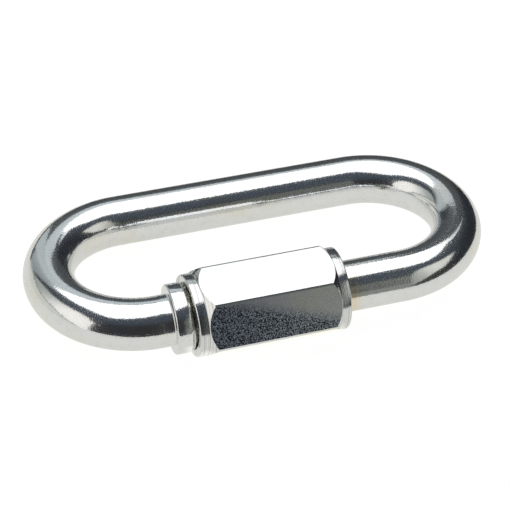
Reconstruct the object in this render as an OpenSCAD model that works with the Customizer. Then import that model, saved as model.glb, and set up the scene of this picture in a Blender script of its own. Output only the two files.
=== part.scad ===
// Chain quick link: a bent steel rod whose open long side is closed by a screwed sleeve nut.
// It lies as it comes to rest, on the lowest corner of the nut and on the rod's whole long side.
// The origin is on the ground under the middle of the link, with X along the link.

/* [Rod] */
// Diameter of the rod
rod_d = 8; // [6:0.5:8.5]
// Clear length inside the loop
inside_l = 58; // [54:1:90]
// Clear width inside the loop
inside_w = 19.3; // [16:0.1:23]

/* [Threaded ends] */
// Outer diameter of the thread
thread_d = 10; // [9.5:0.1:10.5]
// Pitch of the thread
thread_pitch = 1.25; // [0.75:0.25:1.5]
// Length of thread on the closing end, from the stop collar to the tip
closing_thread_l = 4.2; // [3:0.1:6]
// Mouth between the tips of the two ends
mouth_w = 9; // [8:0.1:10]
// Length of thread on the end that carries the nut
carrying_thread_l = 9; // [6:0.5:10]
// Chamfer at each tip
tip_chamfer = 0.7; // [0.2:0.1:1.2]

/* [Stop collar] */
// Diameter of the collar
collar_d = 10.8; // [10.6:0.1:13]
// Width of the collar along the rod
collar_w = 2.4; // [1.5:0.1:4]
// Straight rod between the bend and the collar
collar_from_bend = 1.7; // [0.5:0.1:4]
// Broken edge of the collar
collar_edge = 0.3; // [0.1:0.05:0.6]

/* [Sleeve nut] */
// Width across the flats
nut_flats = 13; // [12:0.5:17]
// Length of the nut
nut_l = 23.8; // [20:0.1:26]
// Gap that the thread's run-out leaves between the collar and the closed nut
nut_gap = 0.7; // [0.3:0.1:1.5]
// Length of the turned round part at each end
nut_round_l = 1.5; // [1:0.1:4]
// How far the turned round lies inside the flats
nut_round_step = 0.1; // [0.05:0.05:0.5]
// Slope of the domed corners, half-way between the round and the corners
nut_dome_slope = 40; // [30:1:55]
// Broken edge round each end face
nut_edge = 0.3; // [0.1:0.05:0.6]
// Diameter of the countersink at each mouth of the bore
nut_mouth_d = 10.4; // [10:0.1:11]
// Turn of the nut: angle of one corner above the plane of the loop
nut_turn = 45; // [0:1:59]

/* [Fit] */
// Radial running clearance between the threads
thread_clearance = 0.05; // [0.02:0.01:0.1]

/* [Hidden] */
$fn = 96;

// Loop: the middle line of the rod is two straights and two half circles
rod_r = rod_d / 2;
bend_r = (inside_w + rod_d) / 2;
half_straight = (inside_l - inside_w) / 2;

// Threads are plain rounds at the pitch diameter, 0.6495 pitches under the outer diameter
thread_r = (thread_d - 0.6495 * thread_pitch) / 2;
bore_r = thread_r + thread_clearance;

// Places along the open side, from the left bend to the right
collar_x0 = collar_from_bend - half_straight;
collar_x1 = collar_x0 + collar_w;
closing_tip_x = collar_x1 + closing_thread_l;
carrying_tip_x = closing_tip_x + mouth_w;
carrying_end_x = carrying_tip_x + carrying_thread_l;
nut_x0 = collar_x1 + nut_gap;
nut_x1 = nut_x0 + nut_l;

// Nut: a hexagon bar with both ends turned round, and its corners domed down to the round ends
nut_corner_r = nut_flats / 2 / cos(30);
nut_round_r = nut_flats / 2 - nut_round_step;
nut_dome_r = (nut_round_r + nut_corner_r) / 2 / cos(nut_dome_slope);
nut_dome_inset = nut_round_l + sqrt(pow(nut_dome_r, 2) - pow(nut_round_r, 2));
countersink = nut_mouth_d / 2 - bore_r;

// Rest: the ground touches the lowest corner of the nut and the long side of the rod
nut_corners = [for (k = [0:5]) nut_turn + 60 * k];
function tilt_on(y, z) = atan2(-z, bend_r - y) - asin(rod_r / norm([bend_r - y, z]));
rest_tilt = max([for (a = nut_corners) tilt_on(-bend_r - nut_corner_r * cos(a), nut_corner_r * sin(a))]);
rest_lift = rod_r + bend_r * sin(rest_tilt);
nut_reach = nut_corner_r * max([for (a = nut_corners) cos(a + rest_tilt)]);
rest_shift = (nut_reach - rod_r) / 2;

// Lays a shape made in the plane of the loop down on the ground
module at_rest() {
    translate([0, rest_shift, rest_lift])
        rotate([-rest_tilt, 0, 0])
            children();
}

// Moves a shape made on the X axis to the open side's axis
module on_open_side() {
    translate([0, -bend_r, 0])
        children();
}

// A round body along X, from a profile of [radius, x] points
module turned(profile) {
    rotate([0, 90, 0])
        rotate_extrude()
            polygon(profile);
}

// A straight length of rod along X
module straight(x0, x1) {
    translate([x0, 0, 0])
        rotate([0, 90, 0])
            cylinder(r = rod_r, h = x1 - x0);
}

// The half circle at one end: side is 1 on the right and -1 on the left
module bend(side) {
    translate([side * half_straight, 0, 0])
        rotate([0, 0, -90 * side])
            rotate_extrude(angle = 180)
                translate([bend_r, 0])
                    circle(r = rod_r);
}

// The end that the nut screws on to when the link is closed, with its stop collar
module closing_end() {
    collar_r = collar_d / 2;
    straight(-half_straight, collar_x0 + collar_w / 2);
    turned([
        [0, collar_x0],
        [collar_r - collar_edge, collar_x0],
        [collar_r, collar_x0 + collar_edge],
        [collar_r, collar_x1 - collar_edge],
        [collar_r - collar_edge, collar_x1],
        [thread_r, collar_x1],
        [thread_r, closing_tip_x - tip_chamfer],
        [thread_r - tip_chamfer, closing_tip_x],
        [0, closing_tip_x],
    ]);
}

// The end that always carries the nut, thickened where it is threaded
module carrying_end() {
    straight(carrying_end_x - carrying_thread_l / 2, half_straight);
    turned([
        [0, carrying_tip_x],
        [thread_r - tip_chamfer, carrying_tip_x],
        [thread_r, carrying_tip_x + tip_chamfer],
        [thread_r, carrying_end_x],
        [rod_r, carrying_end_x + thread_r - rod_r],
        [0, carrying_end_x + thread_r - rod_r],
    ]);
}

// One bent rod: the whole long side, two bends and the two threaded ends
module link_body() {
    color("silver")
        at_rest() {
            translate([0, bend_r, 0])
                straight(-half_straight, half_straight);
            for (side = [-1, 1])
                bend(side);
            on_open_side() {
                closing_end();
                carrying_end();
            }
        }
}

// The round that is turned on the whole length of the nut, with its edges broken
module nut_round() {
    turned([
        [0, nut_x0],
        [nut_round_r - nut_edge, nut_x0],
        [nut_round_r, nut_x0 + nut_edge],
        [nut_round_r, nut_x1 - nut_edge],
        [nut_round_r - nut_edge, nut_x1],
        [0, nut_x1],
    ]);
}

// A long dome-ended body that leaves the hexagon whole between its two ends
module nut_domes() {
    domes = [nut_x0 + nut_dome_inset, nut_x1 - nut_dome_inset];
    rotate([0, 90, 0])
        rotate_extrude()
            intersection() {
                translate([0, domes[0] - nut_dome_r])
                    square([nut_dome_r, domes[1] - domes[0] + 2 * nut_dome_r]);
                union() {
                    translate([0, domes[0]])
                        square([nut_dome_r, domes[1] - domes[0]]);
                    for (x = domes)
                        translate([0, x])
                            circle(r = nut_dome_r);
                }
            }
}

// The threaded bore of the nut, countersunk at both mouths and cut past both faces
module nut_bore() {
    mouth_r = bore_r + countersink;
    past = 1;
    turned([
        [0, nut_x0 - past],
        [mouth_r, nut_x0 - past],
        [mouth_r, nut_x0],
        [bore_r, nut_x0 + countersink],
        [bore_r, nut_x1 - countersink],
        [mouth_r, nut_x1],
        [mouth_r, nut_x1 + past],
        [0, nut_x1 + past],
    ]);
}

// The hexagonal sleeve that closes the mouth
module sleeve_nut() {
    color("gainsboro")
        at_rest()
            on_open_side()
                difference() {
                    intersection() {
                        translate([nut_x0, 0, 0])
                            rotate([0, 90, 0])
                                rotate([0, 0, 30 - nut_turn])
                                    cylinder(r = nut_corner_r, h = nut_l, $fn = 6);
                        union() {
                            nut_round();
                            nut_domes();
                        }
                    }
                    nut_bore();
                }
}

link_body();
sleeve_nut();
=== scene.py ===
"""Looks of the chain quick link: a bent rod loop and the hexagonal sleeve nut that closes it.

Both pieces are modelled in the plane of the loop, in millimetres, with the long side on +Y and the
open side on -Y. They are then laid down on the ground, as the link comes to rest, in metres.
"""

import logging
import math
from collections.abc import Callable, Iterable, Mapping
from dataclasses import dataclass
from enum import IntEnum
from itertools import pairwise
from typing import Any

import bmesh
import bpy
from bmesh.types import BMEdge, BMesh, BMVert
from mathutils import Matrix, Vector


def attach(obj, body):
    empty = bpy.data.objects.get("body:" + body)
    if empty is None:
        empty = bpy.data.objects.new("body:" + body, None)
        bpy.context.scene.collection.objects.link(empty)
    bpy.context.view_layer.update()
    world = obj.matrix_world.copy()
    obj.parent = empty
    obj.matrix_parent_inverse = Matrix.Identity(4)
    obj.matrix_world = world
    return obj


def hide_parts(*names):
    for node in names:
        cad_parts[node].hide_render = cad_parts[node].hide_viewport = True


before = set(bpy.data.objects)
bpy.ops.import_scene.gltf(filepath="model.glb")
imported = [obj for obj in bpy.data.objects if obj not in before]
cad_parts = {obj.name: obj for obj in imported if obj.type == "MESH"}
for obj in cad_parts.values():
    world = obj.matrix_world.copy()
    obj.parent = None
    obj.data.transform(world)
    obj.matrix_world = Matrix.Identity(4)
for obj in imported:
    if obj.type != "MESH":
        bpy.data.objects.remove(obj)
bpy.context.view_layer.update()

LOG = logging.getLogger("quick_link")
MM = 0.001
# Points nearer than this are one point, in millimetres
WELD = 0.0005
FINE_WELD = WELD / 10
# A patch so long that the pattern doesn't change along it, in millimetres
ENDLESS = 1e6
HEX_SIDES = 6
HEX_STEP = 360 / HEX_SIDES

Span = tuple[float, float]
Triple = tuple[float, float, float]
Colour = Triple
Outline = tuple[Span, ...]
Ring = list[BMEdge]

BLACK: Colour = (0.0, 0.0, 0.0)


class Signal:
    """A node's output socket that takes part in Python arithmetic."""

    def __init__(self, nodes: "Nodes", socket: bpy.types.NodeSocket) -> None:
        """Holds the socket and the tree that its Math nodes go to."""
        self.nodes = nodes
        self.socket = socket

    def math(
        self, operation: str, *others: "Signal | float", first: float | None = None
    ) -> "Signal":
        """Adds a Math node.

        Args:
            operation: The Math node's operation.
            others: The values after this one.
            first: A number that comes before this signal, for a reflected operator.

        Returns:
            The node's result.
        """
        values = [self, *others] if first is None else [first, self]
        sockets = dict(enumerate(values))
        return self.nodes.make("ShaderNodeMath", {"operation": operation}, sockets)["Value"]

    def __add__(self, other: "Signal | float") -> "Signal":
        """This plus a value."""
        return self.math("ADD", other)

    __radd__ = __add__

    def __sub__(self, other: "Signal | float") -> "Signal":
        """This minus a value."""
        return self.math("SUBTRACT", other)

    def __rsub__(self, other: float) -> "Signal":
        """A number minus this."""
        return self.math("SUBTRACT", first=other)

    def __mul__(self, other: "Signal | float") -> "Signal":
        """This times a value."""
        return self.math("MULTIPLY", other)

    __rmul__ = __mul__

    def __truediv__(self, other: "Signal | float") -> "Signal":
        """This divided by a value."""
        return self.math("DIVIDE", other)

    def rise(self, low: float, high: float) -> "Signal":
        """A smooth step from 0 at one value of this signal to 1 at another.

        Args:
            low: Where the step starts.
            high: Where it ends. It may be lower than the start, for a falling step.

        Returns:
            The step, from 0 to 1.
        """
        settings = {"interpolation_type": "SMOOTHSTEP", "clamp": True}
        sockets = {"Value": self, "From Min": low, "From Max": high}
        return self.nodes.make("ShaderNodeMapRange", settings, sockets)["Result"]

    def within(self, other: "Signal", outline: Outline, soft: float) -> "Signal":
        """Tells where this signal and another lie inside a convex outline.

        Args:
            other: The second coordinate.
            outline: The outline's corners, anticlockwise.
            soft: How far the soft edge reaches to each side of the outline.

        Returns:
            A signal that is 1 inside, 0 outside and soft in between.
        """
        sides = []
        for (x0, y0), (x1, y1) in pairwise([*outline, outline[0]]):
            length = math.hypot(x1 - x0, y1 - y0)
            along = (other - y0) * ((x1 - x0) / length)
            sides.append(along - (self - x0) * ((y1 - y0) / length))
        depth = sides[0]
        for side in sides[1:]:
            depth = depth.math("SMOOTH_MIN", side, soft)
        return depth.rise(-soft, soft)


class Made:
    """A node that was just made, whose outputs are read by name."""

    def __init__(self, nodes: "Nodes", node: bpy.types.Node) -> None:
        """Holds the node and its tree."""
        self.nodes = nodes
        self.node = node

    def __getitem__(self, name: str) -> Signal:
        """The named output, of those that the node's settings leave switched on."""
        socket = next(out for out in self.node.outputs if out.name == name and out.enabled)
        return Signal(self.nodes, socket)


class Nodes:
    """One node tree, emptied, and the way that nodes are added to it."""

    def __init__(self, tree: bpy.types.NodeTree) -> None:
        """Empties the tree."""
        self.tree = tree
        tree.nodes.clear()

    def make(
        self,
        kind: str,
        settings: Mapping[str, Any] | None = None,
        sockets: Mapping[str | int, Any] | None = None,
    ) -> Made:
        """Adds any node.

        Args:
            kind: The node's type.
            settings: The node's own settings, which are set first.
            sockets: A value or a signal for each input, by name or by place.

        Returns:
            The new node.
        """
        node = self.tree.nodes.new(kind)
        for name, value in (settings or {}).items():
            setattr(node, name, value)
        for key, value in (sockets or {}).items():
            if isinstance(key, int):
                socket = node.inputs[key]
            else:
                socket = next(each for each in node.inputs if each.name == key and each.enabled)
            if isinstance(value, Signal):
                self.tree.links.new(value.socket, socket)
            else:
                socket.default_value = value
        return Made(self, node)

    def axes(self, vector: Signal) -> tuple[Signal, Signal, Signal]:
        """Splits a vector.

        Args:
            vector: The vector.

        Returns:
            Its parts along X, Y and Z.
        """
        split = self.make("ShaderNodeSeparateXYZ", None, {"Vector": vector})
        return split["X"], split["Y"], split["Z"]

    def blend(
        self, share: Signal | float, plain: Signal | Colour, other: Signal | Colour, label: str = ""
    ) -> Signal:
        """Mixes two colours.

        Args:
            share: How much of the other colour there is, from 0 to 1.
            plain: The colour at 0.
            other: The colour at 1.
            label: What the node is called in the tree.

        Returns:
            The mixed colour.
        """
        ends = [end if isinstance(end, Signal) else (*end, 1.0) for end in (plain, other)]
        settings = {"data_type": "RGBA", "label": label}
        sockets = {"Factor": share, "A": ends[0], "B": ends[1]}
        return self.make("ShaderNodeMix", settings, sockets)["Result"]

    def noise(
        self, place: Signal, size: float | Triple, detail: float = 0.0, rough: float = 0.5
    ) -> Signal:
        """Adds a noise whose patches have a given size.

        Args:
            place: The coordinates, in metres.
            size: The size of a patch, or its size along each axis, in millimetres.
            detail: How many finer layers the noise has.
            rough: How strong the finer layers are.

        Returns:
            The noise, about 0.5 on average.
        """
        sizes = size if isinstance(size, tuple) else (size,) * 3
        scale = [1 / (MM * each) for each in sizes]
        scaled = self.make("ShaderNodeMapping", None, {"Vector": place, "Scale": scale})["Vector"]
        sockets = {"Vector": scaled, "Scale": 1.0, "Detail": detail, "Roughness": rough}
        return self.make("ShaderNodeTexNoise", None, sockets)["Fac"]


@dataclass(frozen=True)
class ZincFinish:
    """Bright zinc plate on steel: a mirror with grain, faint tints and, if it was turned, lines.

    A value named for a pattern alone, such as grain, is the size of its patches. Sizes and depths
    are in millimetres, and each range says where in the noise the pattern starts and is full.
    """

    name: str
    bright: Colour = (0.79, 0.805, 0.815)
    tinted: Colour = (0.78, 0.77, 0.72)
    dull: Colour = (0.72, 0.735, 0.73)
    roughness: float = 0.07
    haze_roughness: float = 0.28
    haze_share: float = 0.15
    haze_dot: float = 0.19
    haze_dot_range: Span = (0.5, 0.72)
    haze_dot_share: float = 0.36
    tint: float = 7.0
    tint_range: Span = (0.45, 0.75)
    cloud: float = 1.1
    cloud_range: Span = (0.46, 0.78)
    grain: float = 0.24
    grain_depth: float = 0.007
    pit: float = 0.20
    pit_range: Span = (0.64, 0.78)
    pit_depth: float = 0.003
    ripple: float = 2.4
    ripple_depth: float = 0.006
    line: float = 0.0
    line_range: Span = (0.46, 0.63)
    line_depth: float = 0.0
    line_dark: Colour = (0.34, 0.35, 0.35)
    line_dulling: float = 0.9
    # The speckle paints reflection into the base colour: a bluish pale tint, and dark dots where
    # the grain would mirror the dark room.
    speckle: float = 0.0
    speckle_range: Span = (0.36, 0.60)
    speckle_pale_reflection: Colour = (0.71, 0.79, 0.89)
    speckle_dark_reflection: Colour = (0.035, 0.042, 0.062)
    # A warm brownish tint on a listed patch of the plate, outlined in millimetres on the ground.
    warm_patch: Outline = ()
    warm_patch_soft: float = 1.2
    warm_patch_colour: Colour = (0.80, 0.71, 0.56)
    # Between these heights the painted speckle and the grain fade out, on the upper part that the
    # softbox lights.
    lit_top: Span | None = None
    lit_top_slope: float = 0.31
    lit_top_share: float = 0.9

    def material(self) -> bpy.types.Material:
        """Makes the finish's material.

        Returns:
            The material.
        """
        material = bpy.data.materials.new(self.name)
        material.use_nodes = True
        nodes = Nodes(material.node_tree)
        place = nodes.make("ShaderNodeTexCoord")["Object"]
        tint = nodes.noise(place, self.tint, detail=3.0).rise(*self.tint_range)
        cloud = nodes.noise(place, self.cloud, detail=4.0, rough=0.65).rise(*self.cloud_range)
        colour = nodes.blend(cloud, nodes.blend(tint, self.bright, self.tinted), self.dull)
        # Share of grain and of painted speckle reflection, less on the lit upper part.
        rough = self.speckle_and_grain_share(nodes, place)
        height = self.relief(nodes, place, rough)
        # The warm brownish tint on its patch.
        if self.warm_patch:
            x, y, _ = nodes.axes(place)
            in_warm_patch = (x / MM).within(y / MM, self.warm_patch, self.warm_patch_soft)
            colour = nodes.blend(in_warm_patch, colour, self.warm_patch_colour)
        # Painted reflection: a bluish pale tint, and dark dots for the dark room that the grain
        # would mirror.
        if self.speckle:
            dots = nodes.noise(place, self.speckle, detail=1.0).rise(*self.speckle_range)
            colour = nodes.blend(rough, colour, self.speckle_pale_reflection)
            colour = nodes.blend(dots * rough, colour, self.speckle_dark_reflection)
        if self.line_depth:
            lines = nodes.noise(place, (self.line, ENDLESS, ENDLESS), detail=3.0, rough=0.7)
            height = height + lines * (self.line_depth * MM)
            dulled = lines.rise(*self.line_range) * self.line_dulling
            colour = nodes.blend(dulled, colour, self.line_dark)
        dots = nodes.noise(place, self.haze_dot, detail=1.0).rise(*self.haze_dot_range)
        haze = dots * self.haze_dot_share + self.haze_share
        normal = nodes.make("ShaderNodeBump", None, {"Height": height, "Distance": 1.0})["Normal"]
        plate = {"Base Color": colour, "Metallic": 1.0, "Normal": normal}
        sharp, soft = (
            nodes.make("ShaderNodeBsdfPrincipled", None, {**plate, "Roughness": roughness})["BSDF"]
            for roughness in (self.roughness, self.haze_roughness)
        )
        both = nodes.make("ShaderNodeMixShader", None, {0: haze, 1: sharp, 2: soft})["Shader"]
        nodes.make("ShaderNodeOutputMaterial", None, {"Surface": both})
        return material

    def speckle_and_grain_share(self, nodes: Nodes, place: Signal) -> Signal | float:
        """Works out the share of grain and of painted speckle reflection: both fade out on the
        upper, lit part of some surfaces.

        Args:
            nodes: The material's tree.
            place: The coordinates, in metres.

        Returns:
            The share of grain and of painted speckle, from 0 to 1.
        """
        if self.lit_top is None:
            return 1.0
        x, _, z = nodes.axes(place)
        upper = (z + x * self.lit_top_slope) / MM
        return 1.0 - upper.rise(*self.lit_top) * self.lit_top_share

    def relief(self, nodes: Nodes, place: Signal, rough: Signal | float) -> Signal:
        """Works out the surface's fine relief.

        Args:
            nodes: The material's tree.
            place: The coordinates, in metres.
            rough: The share of grain and of painted speckle, from 0 to 1.

        Returns:
            The height of the grain, the pits and the ripples together, in metres.
        """
        grain = nodes.noise(place, self.grain)
        pits = nodes.noise(place, self.pit).rise(*self.pit_range)
        ripple = nodes.noise(place, self.ripple, detail=3.0)
        fine = (grain * self.grain_depth - pits * self.pit_depth) * rough
        return (fine + ripple * self.ripple_depth) * MM


@dataclass(frozen=True)
class ThreadForm:
    """A metric screw thread, given by its two radii, in millimetres.

    The flat at the outer radius is a share of the pitch, and the flanks' slope is in degrees.
    """

    pitch: float
    outer_r: float
    inner_r: float
    outer_flat: float = 1 / 8
    flank_slope: float = 30.0
    flank_steps: int = 3
    turn_steps: int = 96

    def profile(self) -> list[Span]:
        """One pitch of the thread.

        Returns:
            Points of place along the axis and radius, from one root to the next.
        """
        rise = self.outer_r - self.inner_r
        flank = rise * math.tan(math.radians(self.flank_slope))
        root = self.pitch * (1 - self.outer_flat) - 2 * flank
        shares = [step / self.flank_steps for step in range(self.flank_steps + 1)]
        up = [(root / 2 + flank * share, self.inner_r + rise * share) for share in shares]
        down = [(self.pitch - along, radius) for along, radius in reversed(up)]
        return [*up, *down]


def once(items: Iterable[Any]) -> list[Any]:
    """The items without repeats, in the order they come in, so that each run gives one mesh."""
    return list(dict.fromkeys(items))


class Bench:
    """A bmesh that is worked along one turning axis, parallel to X, in the plane of the loop."""

    def __init__(self, axis_y: float, segments: int) -> None:
        """Starts an empty mesh.

        Args:
            axis_y: Where the turning axis crosses Y.
            segments: How many sides a ring has.
        """
        self.mesh: BMesh = bmesh.new()
        self.axis = Vector((0.0, axis_y, 0.0))
        self.segments = segments

    def ring(self, x: float, radius: float) -> Ring:
        """Draws a ring round the axis.

        Args:
            x: Its place along the axis.
            radius: Its radius.

        Returns:
            The ring's edges.
        """
        across = Matrix.Rotation(math.pi / 2, 4, "Y")
        place = Matrix.Translation(self.axis + Vector((x, 0, 0))) @ across
        made = bmesh.ops.create_circle(
            self.mesh, segments=self.segments, radius=radius, matrix=place
        )
        return once(edge for vert in made["verts"] for edge in vert.link_edges)

    def carry(self, ring: Ring, x: float, radius: float) -> Ring:
        """Extrudes a ring to another place and radius.

        Args:
            ring: The ring to start from.
            x: Where the new ring lies along the axis.
            radius: The new ring's radius.

        Returns:
            The new ring's edges.
        """
        old = ring[0].verts[0].co - self.axis
        made = bmesh.ops.extrude_edge_only(self.mesh, edges=ring)["geom"]
        verts = [item for item in made if isinstance(item, BMVert)]
        grow = radius / math.hypot(old.y, old.z)
        about = Matrix.Translation(-self.axis)
        bmesh.ops.scale(self.mesh, vec=(1, grow, grow), space=about, verts=verts)
        bmesh.ops.translate(self.mesh, vec=(x - old.x, 0, 0), verts=verts)
        return self.edges_among(verts)

    def bend(self, ring: Ring, x: float, angle: float, steps: int) -> Ring:
        """Sweeps a ring round an upright line through the middle of the loop.

        Args:
            ring: The ring to start from.
            x: Where the upright line stands.
            angle: The angle to sweep, in radians.
            steps: The number of steps.

        Returns:
            The last ring's edges.
        """
        verts = once(vert for edge in ring for vert in edge.verts)
        made = bmesh.ops.spin(
            self.mesh,
            geom=[*verts, *ring],
            cent=(x, 0, 0),
            axis=(0, 0, 1),
            angle=angle,
            steps=steps,
        )
        return [item for item in made["geom_last"] if isinstance(item, BMEdge)]

    def revolve(self, profile: Iterable[Span]) -> None:
        """Turns a profile of place and radius into a round body.

        Args:
            profile: The points, from one end to the other.
        """
        verts = [self.mesh.verts.new((x, self.axis.y + radius, 0)) for x, radius in profile]
        edges = [self.mesh.edges.new(pair) for pair in pairwise(verts)]
        bmesh.ops.spin(
            self.mesh,
            geom=[*verts, *edges],
            cent=self.axis,
            axis=(1, 0, 0),
            angle=math.tau,
            steps=self.segments,
            use_merge=True,
        )

    def thread(
        self,
        form: ThreadForm,
        x0: float,
        x1: float,
        reach: Callable[[float], Span],
        finish: int,
    ) -> tuple[Ring, Ring]:
        """Winds a right-hand thread, in step with all others, and cuts both its ends off square.

        Args:
            form: The thread's section.
            x0: Where it starts.
            x1: Where it ends.
            reach: The lowest and highest radius that it may have at a place along the axis.
            finish: The material slot of the thread.

        Returns:
            The rings of edges at the two ends.
        """
        before = set(self.mesh.verts)
        first = math.floor(x0 / form.pitch) - 1
        turns = range(first, math.ceil(x1 / form.pitch) + 1)
        profile = form.profile()
        section = [(form.pitch * turn + x, radius) for turn in turns for x, radius in profile]
        verts = [self.mesh.verts.new((x, self.axis.y + radius, 0)) for x, radius in section]
        edges = [self.mesh.edges.new(pair) for pair in pairwise(verts)]
        bmesh.ops.spin(
            self.mesh,
            geom=[*verts, *edges],
            cent=self.axis,
            axis=(1, 0, 0),
            dvec=(form.pitch / form.turn_steps, 0, 0),
            angle=math.tau,
            steps=form.turn_steps,
        )
        bmesh.ops.remove_doubles(self.mesh, verts=self.added(before), dist=WELD)
        rings = [self.cut(before, x0, -1), self.cut(before, x1, 1)]
        for vert in self.added(before):
            arm = vert.co - self.axis
            radius = math.hypot(arm.y, arm.z)
            lowest, highest = reach(vert.co.x)
            grow = min(max(radius, lowest), highest) / radius
            vert.co = self.axis + Vector((arm.x, arm.y * grow, arm.z * grow))
        for face in once(face for vert in self.added(before) for face in vert.link_faces):
            face.material_index = finish
        return rings[0], rings[1]

    def added(self, before: set[BMVert]) -> list[BMVert]:
        """The points that the mesh has gained since a set of its points was taken."""
        return [vert for vert in self.mesh.verts if vert not in before]

    def cut(self, before: set[BMVert], x: float, outward: int) -> Ring:
        """Cuts what is new square across and throws the outer part away.

        Args:
            before: The points that were there already and stay whole.
            x: Where the cut is.
            outward: The direction along X of the part that goes.

        Returns:
            The edges round the cut.
        """
        new = self.added(before)
        faces = once(face for vert in new for face in vert.link_faces)
        edges = once(edge for vert in new for edge in vert.link_edges)
        made = bmesh.ops.bisect_plane(
            self.mesh,
            geom=[*new, *edges, *faces],
            dist=WELD,
            plane_co=(x, 0, 0),
            plane_no=(outward, 0, 0),
            clear_outer=True,
        )
        return [item for item in made["geom_cut"] if isinstance(item, BMEdge)]

    def join(self, one: Ring, other: Ring) -> None:
        """Closes the gap between two rings."""
        bmesh.ops.bridge_loops(self.mesh, edges=[*one, *other])

    def cap(self, ring: Ring) -> None:
        """Closes a ring with one flat face."""
        bmesh.ops.contextual_create(self.mesh, geom=ring)

    def round_off(self, edges: Iterable[BMEdge], width: float, segments: int = 4) -> None:
        """Rounds edges.

        Args:
            edges: The edges.
            width: How far the round reaches from the edge.
            segments: The number of steps of the round.
        """
        bmesh.ops.bevel(
            self.mesh,
            geom=list(edges),
            offset=width,
            offset_type="OFFSET",
            segments=segments,
            profile=0.5,
            affect="EDGES",
            material=-1,
            clamp_overlap=True,
        )

    def settle(self) -> None:
        """Builds the mesh anew in order of place, as the operators' own order varies by run."""
        bmesh.ops.recalc_face_normals(self.mesh, faces=self.mesh.faces)
        rows = []
        for face in self.mesh.faces:
            corners = [vert.co[:] for vert in face.verts]
            start = corners.index(min(corners))
            rows.append((corners[start:] + corners[:start], face.material_index))
        settled = bmesh.new()
        places = sorted(vert.co[:] for vert in self.mesh.verts)
        verts = {place: settled.verts.new(place) for place in places}
        for corners, finish in sorted(rows):
            settled.faces.new([verts[corner] for corner in corners]).material_index = finish
        self.mesh.free()
        self.mesh = settled

    @staticmethod
    def edges_among(verts: list[BMVert]) -> Ring:
        """The edges that run between two of these points."""
        edges, own = once(edge for vert in verts for edge in vert.link_edges), set(verts)
        return [edge for edge in edges if own.issuperset(edge.verts)]

    def release(self, name: str, lay: Matrix, crease: float) -> bpy.types.Object:
        """Ends the work: turns the faces outwards, lays the piece down and makes it an object.

        Args:
            name: The object's name.
            lay: The move from the plane of the loop to the ground, in metres.
            crease: The angle between faces, in degrees, above which an edge is sharp.

        Returns:
            The object.
        """
        bmesh.ops.recalc_face_normals(self.mesh, faces=self.mesh.faces)
        bmesh.ops.transform(self.mesh, matrix=lay, verts=self.mesh.verts)
        for face in self.mesh.faces:
            face.smooth = True
        mesh = bpy.data.meshes.new(name)
        self.mesh.to_mesh(mesh)
        self.mesh.free()
        mesh.set_sharp_from_angle(angle=math.radians(crease))
        piece = bpy.data.objects.new(name, mesh)
        bpy.context.scene.collection.objects.link(piece)
        return piece


@dataclass
class QuickLink:
    """The sizes that rod and nut share, in millimetres, and how the closed link lies at rest."""

    rod_r: float = 4.0
    inside_l: float = 58.0
    inside_w: float = 19.3
    thread_pitch: float = 1.25
    thread_r: float = 5.0
    thread_root_r: float = 4.233
    collar_from_bend: float = 1.7
    collar_w: float = 2.4
    nut_gap: float = 0.7
    nut_flats: float = 13.0
    nut_turn: float = 45.0

    @property
    def bend_r(self) -> float:
        """Radius of the rod's middle line in the bends."""
        return self.inside_w / 2 + self.rod_r

    @property
    def half_straight(self) -> float:
        """Half the length of the straight sides."""
        return (self.inside_l - self.inside_w) / 2

    @property
    def collar_x(self) -> Span:
        """The two faces of the collar, along X."""
        start = self.collar_from_bend - self.half_straight
        return start, start + self.collar_w

    @property
    def nut_x(self) -> float:
        """The end of the nut that faces the collar."""
        return self.collar_x[1] + self.nut_gap

    @property
    def nut_corner_r(self) -> float:
        """Radius to the corners of the hexagon."""
        return self.nut_flats / 2 / math.cos(math.radians(HEX_STEP / 2))

    def lay(self) -> Matrix:
        """Works out how the loop lies: on the lowest corner of the nut and on the whole long side.

        Returns:
            The move from the plane of the loop, in millimetres, to the ground, in metres.
        """
        corners = [math.radians(self.nut_turn + HEX_STEP * side) for side in range(HEX_SIDES)]
        tilt = max(self.tilt_on(corner) for corner in corners)
        reach = self.nut_corner_r * max(math.cos(corner + tilt) for corner in corners)
        lift = self.rod_r + self.bend_r * math.sin(tilt)
        raised = Matrix.Translation((0, (reach - self.rod_r) / 2, lift))
        move = raised @ Matrix.Rotation(-tilt, 4, "X")
        return Matrix.Scale(MM, 4) @ move

    def tilt_on(self, corner: float) -> float:
        """The loop's tilt if it stood on one corner of the nut.

        Args:
            corner: The corner's angle above the plane of the loop, in radians.

        Returns:
            The tilt, in radians.
        """
        across = 2 * self.bend_r + self.nut_corner_r * math.cos(corner)
        below = -self.nut_corner_r * math.sin(corner)
        return math.atan2(below, across) - math.asin(self.rod_r / math.hypot(across, below))


class RodFinish(IntEnum):
    """The material slots of the rod."""

    PLAIN = 0
    THREAD = 1


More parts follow.
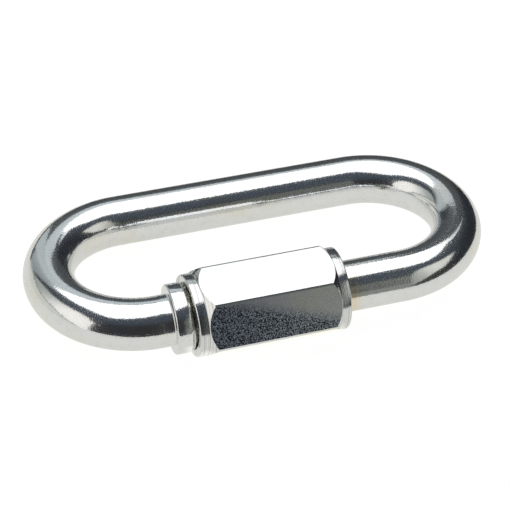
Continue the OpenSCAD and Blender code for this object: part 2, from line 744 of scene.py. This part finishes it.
@dataclass
class LinkRod:
    """The bent rod: the long side, two bends, the stop collar and the two threaded ends.

    Lengths are in millimetres, and the crease is in degrees.
    """

    link: QuickLink
    collar_r: float = 5.4
    collar_edge: float = 0.3
    collar_root: float = 0.2
    closing_thread_l: float = 4.2
    carrying_thread_l: float = 9.0
    mouth_w: float = 9.0
    tip_r: float = 3.9
    run_out: float = 0.25
    run_out_drop: float = 0.35
    carrying_slope_l: float = 0.6
    segments: int = 144
    bend_steps: int = 112
    crease: float = 40.0
    plain: ZincFinish = ZincFinish(
        "rod_zinc_plate",
        grain_depth=0.005,
        # The warm brownish tint on the rod beside the nut's far end.
        warm_patch=((7.0, -22.0), (11.5, -22.0), (11.0, -13.6), (7.0, -13.6)),
    )
    threaded: ZincFinish = ZincFinish(
        "thread_zinc_plate",
        bright=(0.66, 0.66, 0.62),
        tinted=(0.55, 0.54, 0.46),
        roughness=0.24,
        haze_roughness=0.4,
    )

    def build(self) -> bpy.types.Object:
        """Models the rod, dresses it and puts it in the rod's place.

        Returns:
            The piece.
        """
        link = self.link
        bench = Bench(-link.bend_r, self.segments)
        form = ThreadForm(link.thread_pitch, link.thread_r, link.thread_root_r)
        first = bench.ring(-link.half_straight, link.rod_r)
        last = self.bend_loop(bench, first)
        self.closing_end(bench, form, first)
        self.carrying_end(bench, form, last)
        piece = bench.release("link_rod", link.lay(), self.crease)
        for finish in (self.plain, self.threaded):
            piece.data.materials.append(finish.material())
        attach(piece, "link")
        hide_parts("link_body")
        return piece

    def bend_loop(self, bench: Bench, ring: Ring) -> Ring:
        """Sweeps the rod round both bends and the long side.

        Args:
            bench: The mesh.
            ring: The ring where the left bend leaves the open side.

        Returns:
            The ring where the right bend comes back to the open side.
        """
        half = self.link.half_straight
        ring = bench.bend(ring, -half, -math.pi, self.bend_steps)
        made = bmesh.ops.extrude_edge_only(bench.mesh, edges=ring)["geom"]
        verts = [item for item in made if isinstance(item, BMVert)]
        bmesh.ops.translate(bench.mesh, vec=(2 * half, 0, 0), verts=verts)
        return bench.bend(bench.edges_among(verts), half, -math.pi, self.bend_steps)

    def closing_end(self, bench: Bench, form: ThreadForm, ring: Ring) -> None:
        """Makes the collar and the threaded stub beyond it.

        Args:
            bench: The mesh.
            form: The thread's section.
            ring: The ring where the left bend leaves the open side.
        """
        link = self.link
        near, far = link.collar_x
        root = bench.carry(ring, near, link.rod_r)
        rim = bench.carry(root, near, self.collar_r)
        far_rim = bench.carry(rim, far, self.collar_r)
        face = bench.carry(far_rim, far, link.thread_r)
        tip = far + self.closing_thread_l

        def reach(x: float) -> Span:
            """The run-out lifts the root at the collar, and a cone cuts the tip."""
            lowest = link.thread_r - (x - far) / self.run_out * self.run_out_drop
            return lowest, self.tip_r + tip - x

        start, end = bench.thread(form, far + self.run_out / 2, tip, reach, RodFinish.THREAD)
        bench.join(face, start)
        bench.cap(end)
        bench.round_off([*rim, *far_rim], self.collar_edge)
        bench.round_off(root, self.collar_root)

    def carrying_end(self, bench: Bench, form: ThreadForm, ring: Ring) -> None:
        """Makes the thickened thread that always carries the nut.

        Args:
            bench: The mesh.
            form: The thread's section.
            ring: The ring where the right bend comes back to the open side.
        """
        link = self.link
        tip = link.collar_x[1] + self.closing_thread_l + self.mouth_w
        foot = tip + self.carrying_thread_l + self.carrying_slope_l

        def reach(x: float) -> Span:
            """A cone cuts the tip, and the thread slopes down to the rod at its other end."""
            return 0.0, min(self.tip_r + x - tip, link.rod_r + foot - x)

        start, end = bench.thread(form, tip, foot, reach, RodFinish.THREAD)
        bench.cap(start)
        bench.join(bench.carry(ring, foot + self.run_out, link.rod_r), end)


class NutFinish(IntEnum):
    """The material slots of the nut."""

    TURNED = 0
    FLAT = 1
    # The front flat, whose plate carries painted speckle reflection.
    PAINTED_SPECKLE = 2
    BORE = 3


@dataclass
class SleeveNut:
    """The hexagonal sleeve nut, with turned round ends, domed corners and a threaded bore.

    Lengths are in millimetres, the least area of a flat is in square millimetres, and the slopes,
    the end's skew and the crease are in degrees.
    """

    link: QuickLink
    length: float = 23.8
    round_l: float = 1.5
    round_step: float = 0.1
    dome_slope: float = 40.0
    end_edge: float = 0.3
    end_edge_steps: int = 3
    end_shift: float = 0.27
    end_skew: float = 2.7
    end_skew_turn: float = 170.0
    ridge_r: float = 0.6
    ridge_steps: int = 5
    flat_border: float = 0.03
    least_flat: float = 6.5
    mouth_r: float = 5.2
    thread_play: float = 0.06
    bore_r: float = 4.35
    dome_steps: int = 14
    segments: int = 192
    crease: float = 25.0
    turned: ZincFinish = ZincFinish(
        "nut_turned_plate", line=0.20, line_depth=0.03, grain_depth=0.006, pit_depth=0.002
    )
    flat: ZincFinish = ZincFinish(
        "nut_flat_plate", grain=0.20, grain_depth=0.006, pit_depth=0.002, ripple_depth=0.002
    )
    # The front flat's plate: like the flat plate, with painted speckle reflection that fades out on
    # the lit upper part.
    rough: ZincFinish = ZincFinish(
        "nut_painted_speckle_plate",
        grain=0.20,
        grain_depth=0.006,
        pit_depth=0.002,
        ripple_depth=0.002,
        speckle=0.19,
        lit_top=(8.4, 11.0),
    )
    bore: ZincFinish = ZincFinish(
        "nut_bore_plate",
        bright=(0.62, 0.62, 0.58),
        tinted=(0.5, 0.49, 0.42),
        roughness=0.26,
        haze_roughness=0.4,
    )

    @property
    def ends(self) -> Span:
        """The two ends of the nut, along X."""
        return self.link.nut_x, self.link.nut_x + self.length

    @property
    def round_r(self) -> float:
        """Radius of the turned ends."""
        return self.link.nut_flats / 2 - self.round_step

    def build(self) -> bpy.types.Object:
        """Models the nut, dresses it and puts it in the nut's place.

        Returns:
            The piece.
        """
        bench = Bench(-self.link.bend_r, self.segments)
        bench.revolve(self.outline())
        self.cut_flats(bench)
        self.bore_through(bench)
        self.skew_end(bench)
        piece = bench.release("hex_sleeve_nut", self.link.lay(), self.crease)
        for finish in (self.turned, self.flat, self.rough, self.bore):
            piece.data.materials.append(finish.material())
        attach(piece, "nut")
        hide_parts("sleeve_nut")
        return piece

    def outline(self) -> list[Span]:
        """The nut's outline before the flats are cut: round ends, and domes up to the corners.

        Returns:
            Points of place and radius, from end to end.
        """
        corner_r, steps = self.link.nut_corner_r, self.dome_steps
        dome_r = (self.round_r + corner_r) / 2 / math.cos(math.radians(self.dome_slope))
        low, high = math.asin(self.round_r / dome_r), math.asin(corner_r / dome_r)
        angles = [low + (high - low) * step / steps for step in range(steps + 1)]
        foot = math.cos(low)
        dome = [(dome_r * (foot - math.cos(angle)), dome_r * math.sin(angle)) for angle in angles]
        start, end = self.ends
        left = [(start, self.round_r), *((start + self.round_l + x, radius) for x, radius in dome)]
        return [*left, *((start + end - x, radius) for x, radius in reversed(left))]

    def cut_flats(self, bench: Bench) -> None:
        """Cuts the six flats and the rounded ridges between them.

        Args:
            bench: The mesh.
        """
        mesh = bench.mesh
        half_step = HEX_STEP / 2
        ridge_axis = self.link.nut_corner_r - self.ridge_r / math.cos(math.radians(half_step))
        for corner in range(HEX_SIDES):
            for step in range(self.ridge_steps + 1):
                off_ridge = math.radians(HEX_STEP * step / (self.ridge_steps + 1) - half_step)
                turn = math.radians(self.link.nut_turn + HEX_STEP * corner) + off_ridge
                normal = Vector((0, -math.cos(turn), math.sin(turn)))
                depth = ridge_axis * math.cos(off_ridge) + self.ridge_r
                made = bmesh.ops.bisect_plane(
                    mesh,
                    geom=[*mesh.verts, *mesh.edges, *mesh.faces],
                    dist=FINE_WELD,
                    plane_co=bench.axis + normal * depth,
                    plane_no=normal,
                    clear_outer=True,
                )
                outline = [item for item in made["geom_cut"] if isinstance(item, BMEdge)]
                # The front flat gets the plate with painted speckle reflection.
                finish = NutFinish.PAINTED_SPECKLE if corner == step == 0 else NutFinish.FLAT
                for face in bmesh.ops.contextual_create(mesh, geom=outline)["faces"]:
                    face.material_index = finish
        cut = (NutFinish.FLAT, NutFinish.PAINTED_SPECKLE)
        faces = [face for face in mesh.faces if face.material_index in cut]
        flats = [face for face in faces if face.calc_area() > self.least_flat]
        bmesh.ops.inset_individual(
            mesh, faces=flats, thickness=self.flat_border, use_even_offset=True
        )

    def skew_end(self, bench: Bench) -> None:
        """Leaves the end by the collar a little out of square, as it was cut off.

        Args:
            bench: The mesh.
        """
        turn, slope = math.radians(self.end_skew_turn), math.tan(math.radians(self.end_skew))
        across = Vector((0, -math.cos(turn), math.sin(turn))) * slope
        fixed = self.link.nut_x + 2 * self.round_l
        for vert in bench.mesh.verts:
            share = min(1.0, max(0.0, (fixed - vert.co.x) / self.round_l))
            vert.co.x -= share * (self.end_shift + (vert.co - bench.axis).dot(across))

    def bore_through(self, bench: Bench) -> None:
        """Threads the bore, countersinks its mouths and closes the end faces.

        Args:
            bench: The mesh.
        """
        start, end = self.ends
        link = self.link
        form = ThreadForm(link.thread_pitch, link.thread_r + self.thread_play, self.bore_r)

        def reach(x: float) -> Span:
            """A cone opens each mouth of the bore."""
            return self.mouth_r - min(x - start, end - x), self.mouth_r

        bench.thread(form, start, end, reach, NutFinish.BORE)
        bench.settle()
        rings = [self.open_rings(bench, x) for x in self.ends]
        for rim, mouth in rings:
            bench.join(rim, mouth)
        for rim, _ in rings:
            bench.round_off(rim, self.end_edge, self.end_edge_steps)

    def open_rings(self, bench: Bench, x: float) -> tuple[Ring, Ring]:
        """Finds the open edges at one end of the nut.

        Args:
            bench: The mesh.
            x: Where the end is.

        Returns:
            The edges of the rim and those of the bore's mouth.
        """
        between = (self.round_r + self.mouth_r) / 2
        rim, mouth = [], []
        for edge in bench.mesh.edges:
            if edge.is_boundary and all(abs(vert.co.x - x) < WELD for vert in edge.verts):
                _, y, z = edge.verts[0].co - bench.axis
                (rim if math.hypot(y, z) > between else mouth).append(edge)
        return rim, mouth


@dataclass(frozen=True)
class Card:
    """A pale card or a dark flag that stands round the part, as a patch with soft straight edges.

    The corners go anticlockwise, in degrees of azimuth from +Y towards +X and of height above the
    horizon. The colour fades to another between two azimuths.
    """

    name: str
    corners: Outline
    soft: float
    colour: Colour
    faded: Colour | None = None
    fade: Span = (0.0, 0.0)

    def paint(
        self, nodes: Nodes, ray: tuple[Signal, Signal, Signal], behind: Signal | Colour
    ) -> Signal:
        """Paints the card over what stands behind it.

        Args:
            nodes: The world's tree.
            ray: The direction that is looked in.
            behind: The colour behind the card.

        Returns:
            The colour with the card in front.
        """
        x, y, z = ray
        middle = sum(azimuth for azimuth, _ in self.corners) / len(self.corners)
        cos, sin = math.cos(math.radians(middle)), math.sin(math.radians(middle))
        azimuth = (x * cos - y * sin).math("ARCTAN2", x * sin + y * cos) * math.degrees(1) + middle
        height = z.math("ARCSINE") * math.degrees(1)
        share = azimuth.within(height, self.corners, self.soft)
        colour = self.colour
        if self.faded is not None:
            colour = nodes.blend(azimuth.rise(*self.fade), self.colour, self.faded)
        return nodes.blend(share, behind, colour, label=self.name)


@dataclass(frozen=True)
class Board:
    """A pale upright board behind the part, with its outline along X and up Z, in millimetres."""

    name: str
    outline: Outline
    colour: Colour


@dataclass(frozen=True)
class Viewpoint:
    """Where the camera stands: lengths in millimetres and angles in degrees."""

    aim: Triple = (-0.724, -0.418, 6.0)
    distance: float = 288.51
    azimuth: float = -18.317
    elevation: float = 42.573
    roll: float = 2.207
    field_of_view: float = 15.8159
    nearest: float = 10.0

    def matrix(self) -> Matrix:
        """The camera's place and turn.

        Returns:
            The camera's matrix, in metres.
        """
        turn, rise = math.radians(self.azimuth), math.radians(self.elevation)
        level = math.cos(rise)
        back = Vector((math.sin(turn) * level, -math.cos(turn) * level, math.sin(rise)))
        right = Vector((math.cos(turn), math.sin(turn), 0))
        axes = Matrix((right, back.cross(right), back)).transposed().to_4x4()
        place = (Vector(self.aim) + back * self.distance) * MM
        return Matrix.Translation(place) @ axes @ Matrix.Rotation(math.radians(self.roll), 4, "Z")


@dataclass
class Studio:
    """The pale table, the softbox above it, the boards and cards round it and the camera.

    The table and its glint are outlines on the ground, in millimetres. The softbox is an outline
    in the X and Y of a direction, each divided by its Z. The gloom rises with that Z.
    """

    view: Viewpoint = Viewpoint()
    table: Outline = (
        (-95.0, -50.0), (62.0, -46.0), (110.0, -25.0), (110.0, 0.0), (62.0, 34.0),
        (30.0, 40.0), (-20.0, 42.0), (-50.0, 85.0), (-95.0, 85.0),
    )
    table_colour: Colour = (0.16, 0.16, 0.157)
    table_to_camera: Colour = (0.94, 0.94, 0.94)
    table_to_metal: Colour = (0.72, 0.713, 0.67)
    glint: Outline = ((-15.0, -19.0), (9.5, -19.0), (9.5, -11.0), (-15.0, -11.0))
    glint_soft: float = 1.5
    glint_to_metal: Colour = (1.07, 1.059, 0.995)
    softbox: Outline = (
        (-0.51, -0.15), (-0.42, -0.29), (-0.22, -0.35), (0.02, -0.33), (0.14, -0.28),
        (0.36, -0.185), (0.62, -0.07), (0.76, 0.12), (0.80, 0.45), (0.78, 0.92),
        (0.56, 1.08), (-0.51, 1.04),
    )
    softbox_soft: float = 0.02
    softbox_colour: Colour = (1.5, 1.5, 1.5)
    softbox_least_z: float = 0.01
    boards: tuple[Board, ...] = (
        Board(
            "back board",
            (
                (-25.0, 119.0), (0.0, 121.0), (40.0, 134.0), (75.0, 146.0), (113.0, 155.0),
                (113.0, 225.0), (-25.0, 225.0),
            ),
            (0.60, 0.65, 0.67),
        ),
        Board(
            "left board",
            (
                (-100.0, 8.0), (-48.0, 8.0), (-44.0, 70.0), (-36.0, 103.0), (-25.0, 119.0),
                (-25.0, 225.0), (-80.0, 225.0), (-100.0, 135.0),
            ),
            (0.52, 0.565, 0.575),
        ),
    )
    board_y: float = 235.0
    gloom_low: Colour = (0.024, 0.027, 0.033)
    gloom_high: Colour = (0.054, 0.068, 0.086)
    gloom_rise: Span = (0.3, 0.8)
    backdrop: Colour = (1.0, 1.0, 1.0)
    cards: tuple[Card, ...] = (
        Card(
            "front left flag",
            ((-200.0, -30.0), (-124.0, -30.0), (-124.0, 30.0), (-140.0, 38.0), (-200.0, 36.0)),
            6.0,
            (0.034, 0.034, 0.038),
        ),
        Card(
            "front grey wall",
            ((156.0, -4.0), (169.0, -4.0), (169.0, 24.0), (166.0, 34.0), (157.0, 38.0)),
            2.0,
            (0.13, 0.135, 0.125),
        ),
        Card(
            "front grey card",
            ((156.0, -14.0), (170.0, -14.0), (170.0, 5.0), (156.0, 5.0)),
            2.0,
            (0.27, 0.275, 0.25),
            faded=(0.14, 0.146, 0.157),
            fade=(164.5, 167.5),
        ),
        Card(
            "left card",
            (
                (-122.0, -30.0), (-37.0, -30.0), (-37.0, 16.0), (-44.0, 29.0), (-62.0, 38.0),
                (-80.0, 43.0), (-95.0, 44.0), (-108.0, 40.0), (-121.0, 28.0),
            ),
            2.5,
            (1.12, 1.08, 1.02),
            faded=(0.40, 0.44, 0.43),
            fade=(-90.0, -46.0),
        ),
        Card(
            "shadow of the left sill",
            (
                (-119.0, -12.0), (-25.0, -12.0), (-25.0, 10.5), (-60.0, 12.0), (-80.0, 12.0),
                (-91.0, 6.5), (-102.0, 1.0), (-112.0, -6.0),
            ),
            1.2,
            (0.20, 0.21, 0.20),
        ),
        Card(
            "left sill",
            (
                (-118.0, -13.0), (-25.0, -13.0), (-25.0, 8.0), (-60.0, 9.5), (-80.0, 9.5),
                (-90.0, 4.5), (-101.0, -1.0), (-111.0, -8.0),
            ),
            1.2,
            (0.70, 0.72, 0.67),
        ),
        Card(
            "back wall",
            ((-8.0, -12.0), (36.0, -12.0), (36.0, 26.0), (24.0, 31.0), (2.0, 31.0)),
            4.0,
            (0.072, 0.079, 0.083),
        ),
        Card(
            "back left wall",
            ((-33.0, 5.0), (-24.0, -1.0), (-20.0, 1.0), (-6.0, 26.0), (2.0, 52.0), (-35.0, 52.0)),
            3.0,
            (0.32, 0.35, 0.36),
            faded=(0.60, 0.65, 0.67),
            fade=(-30.0, 0.0),
        ),
        Card(
            "back right strip",
            ((40.5, 28.5), (51.0, 41.0), (44.0, 48.0), (37.0, 40.0)),
            1.2,
            (0.46, 0.49, 0.52),
            faded=(1.10, 1.12, 1.14),
            fade=(40.0, 47.0),
        ),
        Card(
            "front right card",
            (
                (95.0, 31.0), (158.0, -6.0), (160.0, 6.0), (157.0, 31.0), (150.0, 41.0),
                (141.0, 47.0), (129.0, 47.5), (113.0, 42.0),
            ),
            3.0,
            (0.82, 0.82, 0.76),
            faded=(0.42, 0.44, 0.40),
            fade=(124.0, 158.0),
        ),
        Card(
            "front right flag",
            (
                (112.0, -9.0), (161.0, -9.0), (150.0, 3.0), (138.0, 11.5), (130.0, 15.5),
                (122.0, 15.0), (113.0, 8.0),
            ),
            2.5,
            (0.034, 0.036, 0.034),
        ),
    )

    def set_up(self) -> None:
        """Makes the table, the surroundings with their light, and the camera."""
        self.lay_table()
        for board in self.boards:
            self.stand_board(board)
        self.surround()
        self.place_camera()
        bpy.context.scene.view_settings.view_transform = "Standard"

    @staticmethod
    def sheet(name: str, corners: Iterable[Triple]) -> tuple[bpy.types.Object, Nodes]:
        """Makes one flat sheet of the studio, with an empty material.

        Args:
            name: The sheet's name.
            corners: Its outline, in millimetres.

        Returns:
            The sheet and its material's tree.
        """
        mesh = bpy.data.meshes.new(name)
        work = bmesh.new()
        work.faces.new([work.verts.new(Vector(corner) * MM) for corner in corners])
        work.to_mesh(mesh)
        work.free()
        sheet = bpy.data.objects.new(name, mesh)
        bpy.context.scene.collection.objects.link(sheet)
        material = bpy.data.materials.new(name)
        material.use_nodes = True
        mesh.materials.append(material)
        return sheet, Nodes(material.node_tree)

    def lay_table(self) -> None:
        """Makes the pale table, white to the camera apart from the faint shadow on it."""
        _, nodes = self.sheet("table", ((x, y, 0.0) for x, y in self.table))
        rays = nodes.make("ShaderNodeLightPath")
        to_metal = rays["Is Glossy Ray"] + rays["Is Transmission Ray"]
        x, y, _ = nodes.axes(nodes.make("ShaderNodeTexCoord")["Object"])
        glint = (x / MM).within(y / MM, self.glint, self.glint_soft)
        colour = nodes.blend(glint, self.table_to_metal, self.glint_to_metal)
        colour = nodes.blend(to_metal, BLACK, colour)
        colour = nodes.blend(rays["Is Camera Ray"], colour, self.table_to_camera)
        matt = nodes.make("ShaderNodeBsdfDiffuse", None, {"Color": (*self.table_colour, 1)})["BSDF"]
        glow = nodes.make("ShaderNodeEmission", None, {"Color": colour})["Emission"]
        both = nodes.make("ShaderNodeAddShader", None, {0: matt, 1: glow})["Shader"]
        nodes.make("ShaderNodeOutputMaterial", None, {"Surface": both})

    def stand_board(self, board: Board) -> None:
        """Stands a pale board behind the part, out of the camera's sight.

        Args:
            board: The board.
        """
        sheet, nodes = self.sheet(board.name, ((x, self.board_y, z) for x, z in board.outline))
        sheet.visible_camera = False
        glow = nodes.make("ShaderNodeEmission", None, {"Color": (*board.colour, 1)})["Emission"]
        nodes.make("ShaderNodeOutputMaterial", None, {"Surface": glow})

    def surround(self) -> None:
        """Sets the softbox and the cards in a dark room, and a white backdrop for the camera."""
        world = bpy.data.worlds.new("studio")
        world.use_nodes = True
        bpy.context.scene.world = world
        nodes = Nodes(world.node_tree)
        x, y, z = nodes.axes(nodes.make("ShaderNodeTexCoord")["Generated"])
        colour = nodes.blend(z.rise(*self.gloom_rise), self.gloom_low, self.gloom_high)
        for card in self.cards:
            colour = card.paint(nodes, (x, y, z), colour)
        up = z.math("MAXIMUM", self.softbox_least_z)
        overhead = (x / up).within(y / up, self.softbox, self.softbox_soft)
        colour = nodes.blend(overhead, colour, self.softbox_colour)
        to_camera = nodes.make("ShaderNodeLightPath")["Is Camera Ray"]
        colour = nodes.blend(to_camera, colour, self.backdrop)
        sockets = {"Color": colour, "Strength": 1.0}
        light = nodes.make("ShaderNodeBackground", None, sockets)["Background"]
        nodes.make("ShaderNodeOutputWorld", None, {"Surface": light})

    def place_camera(self) -> None:
        """Stands the camera at the picture's viewpoint."""
        data = bpy.data.cameras.new("camera")
        data.angle = math.radians(self.view.field_of_view)
        data.clip_start = self.view.nearest * MM
        camera = bpy.data.objects.new("camera", data)
        camera.matrix_world = self.view.matrix()
        bpy.context.scene.collection.objects.link(camera)
        bpy.context.scene.camera = camera


def main() -> None:
    """Builds the two pieces and the studio, in order."""
    logging.basicConfig(level=logging.INFO, format="%(name)s: %(message)s")
    link = QuickLink()
    for maker in (LinkRod(link), SleeveNut(link)):
        piece = maker.build()
        LOG.info("%s: %d faces", piece.name, len(piece.data.polygons))
    Studio().set_up()


if __name__ == "__main__":
    main()
